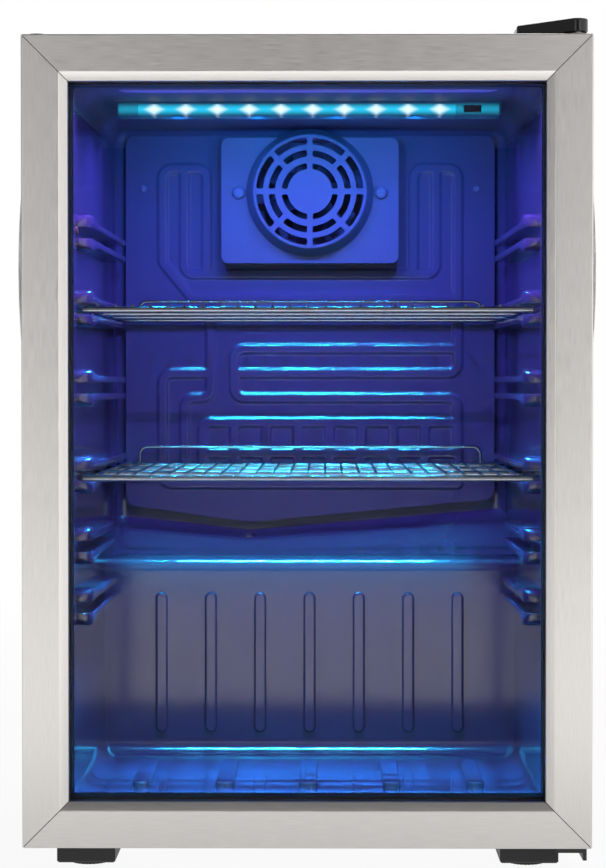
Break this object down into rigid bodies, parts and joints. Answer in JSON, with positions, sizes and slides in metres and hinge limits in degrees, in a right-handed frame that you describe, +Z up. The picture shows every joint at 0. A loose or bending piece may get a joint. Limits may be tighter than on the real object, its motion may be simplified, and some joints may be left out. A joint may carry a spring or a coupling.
{
  "type": "mini fridge",
  "caption": "Compact free-standing fridge with a glazed stainless-trimmed door, wire shelves, a lit black interior, a circulation fan and a rear machine bay.",
  "frame": {"origin": "on the floor, under the middle of the overall box", "axes": "+Z up, -Y out of the door's face, +X to the right seen from the front"},
  "size_m": [0.451, 0.5, 0.6765],
  "materials": {
    "wrap_black": "satin",
    "bare_steel": "zinc",
    "liner_black": "gloss",
    "foam": "foam",
    "dark_plastic": "satin",
    "cold_plate": "satin",
    "steel_screw": "plated",
    "motor_black": "matte",
    "white_plastic": "matte",
    "lens": "clear",
    "led": "lit",
    "shelf_chrome": "polished",
    "stainless": "brushed",
    "glass": "clear",
    "gasket": "matte",
    "magnet": "matte",
    "handle": "satin",
    "bush": "natural",
    "hinge": "satin",
    "compressor": "gloss",
    "grommet": "matte",
    "condenser": "satin",
    "copper": "bare",
    "plug": "matte"
  },
  "bodies": {
    "cabinet": {"cabinet_wrap": "wrap_black", "base_plate": "bare_steel", "back_panel": "wrap_black", "machine_bay_panel": "bare_steel", "inner_liner": "liner_black", "foam_insulation": "foam", "wall_plug": "plug", "evaporator_plate": "cold_plate", "evaporator_screws": "steel_screw", "fan_cover": "dark_plastic", "fan_cover_screws": "steel_screw", "fan_bracket": "motor_black", "fan_motor": "motor_black", "drain_tube": "white_plastic", "light_base": "liner_black", "light_lens": "lens", "led_board": "white_plastic", "leds": "led", "upper_hinge_bracket": "hinge", "upper_hinge_cover": "dark_plastic", "lower_hinge_bracket": "hinge", "hinge_pins": "steel_screw", "hinge_screws": "steel_screw", "compressor": "compressor", "compressor_grommets": "grommet", "relay_cover": "motor_black", "drip_tray": "motor_black", "condenser_tube": "condenser", "condenser_wires": "condenser", "condenser_brackets": "condenser", "filter_drier": "copper", "suction_tube": "copper", "control_bracket": "bare_steel", "thermostat": "white_plastic", "cord_gland": "motor_black", "front_foot_blocks": "motor_black", "rear_feet": "motor_black", "foot_screws": "steel_screw"},
    "door": {"trim_top": "stainless", "trim_bottom": "stainless", "trim_left": "stainless", "trim_right": "stainless", "door_frame": "dark_plastic", "outer_glass": "glass", "inner_glass": "glass", "glass_spacer": "magnet", "door_gasket": "gasket", "gasket_magnets": "magnet", "handle_left": "handle", "handle_right": "handle", "hinge_bushes": "bush", "spare_hole_plugs": "dark_plastic"},
    "fan": {"fan_blades": "motor_black", "fan_shaft": "steel_screw"},
    "switch": {"light_switch": "motor_black"},
    "top_shelf": {"upper_shelf": "shelf_chrome"},
    "bottom_shelf": {"lower_shelf": "shelf_chrome"},
    "knob": {"thermostat_knob": "dark_plastic"},
    "foot_left": {"levelling_foot_left": "motor_black"},
    "foot_right": {"levelling_foot_right": "motor_black"}
  },
  "joints": [
    {"name": "door_hinge", "type": "hinge", "parent": "cabinet", "child": "door", "pos_m": [0.2115, -0.232, 0.345], "axis": [0, 0, 1], "range_deg": [0, 120]},
    {"name": "fan_spin", "type": "hinge", "parent": "cabinet", "child": "fan", "pos_m": [0, 0.13, 0.5684], "axis": [0, 1, 0], "continuous": true},
    {"name": "light_rocker", "type": "hinge", "parent": "cabinet", "child": "switch", "pos_m": [0.14, -0.053, 0.62599], "axis": [0, 0, 1], "range_deg": [0, 16]},
    {"name": "upper_shelf_slide", "type": "slide", "parent": "cabinet", "child": "top_shelf", "axis": [0, -1, 0], "range_m": [0, 0.015]},
    {"name": "lower_shelf_slide", "type": "slide", "parent": "cabinet", "child": "bottom_shelf", "axis": [0, -1, 0], "range_m": [0, 0.015]},
    {"name": "thermostat_turn", "type": "hinge", "parent": "cabinet", "child": "knob", "pos_m": [0.179, 0.1975, 0.0743], "axis": [0, 1, 0], "range_deg": [0, 270]},
    {"name": "foot_left_turn", "type": "hinge", "parent": "cabinet", "child": "foot_left", "pos_m": [-0.1785, -0.153, 0.01], "axis": [0, 0, 1], "continuous": true},
    {"name": "foot_right_turn", "type": "hinge", "parent": "cabinet", "child": "foot_right", "pos_m": [0.1785, -0.153, 0.01], "axis": [0, 0, 1], "continuous": true}
  ]
}
